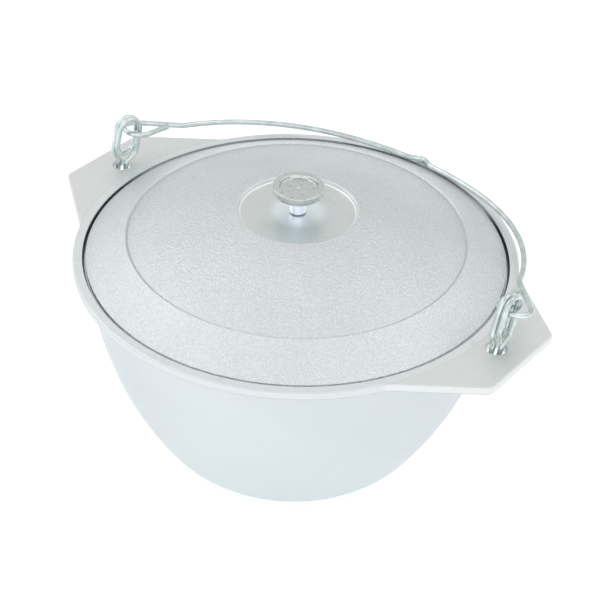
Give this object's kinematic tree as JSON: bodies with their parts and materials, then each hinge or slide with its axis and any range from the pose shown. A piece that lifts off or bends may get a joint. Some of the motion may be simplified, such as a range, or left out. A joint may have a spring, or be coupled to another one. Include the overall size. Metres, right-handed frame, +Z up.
{
  "type": "cauldron with lid and bail",
  "caption": "Round cast cauldron with flat ears, a domed lid with a turned knob, and a folding wire bail hung on coiled wire links.",
  "frame": {"origin": "centre of the flat base", "axes": "+Z up along the pot's axis, +X through the right ear, the bail folded back towards +Y"},
  "size_m": [0.3874, 0.3198, 0.2293],
  "materials": {
    "pot_casting": "fine blasted casting with a turned rim",
    "lid_casting": "sand cast grain, turned recess",
    "turned_knob": "bright turned",
    "zinc_wire": "bright zinc plated wire",
    "zinc_hardware": "zinc plated"
  },
  "bodies": {
    "vessel": {"pot": "pot_casting", "lid": "lid_casting", "lid_knob": "turned_knob", "knob_screw": "zinc_hardware", "knob_washer": "zinc_hardware", "left_link": "zinc_wire", "right_link": "zinc_wire"},
    "handle": {"bail": "zinc_wire"}
  },
  "joints": [
    {"name": "bail_swing", "type": "hinge", "parent": "vessel", "child": "handle", "pos_m": [0, 0.008, 0.199], "axis": [1, 0, 0], "range_deg": [0, 194.4]}
  ]
}
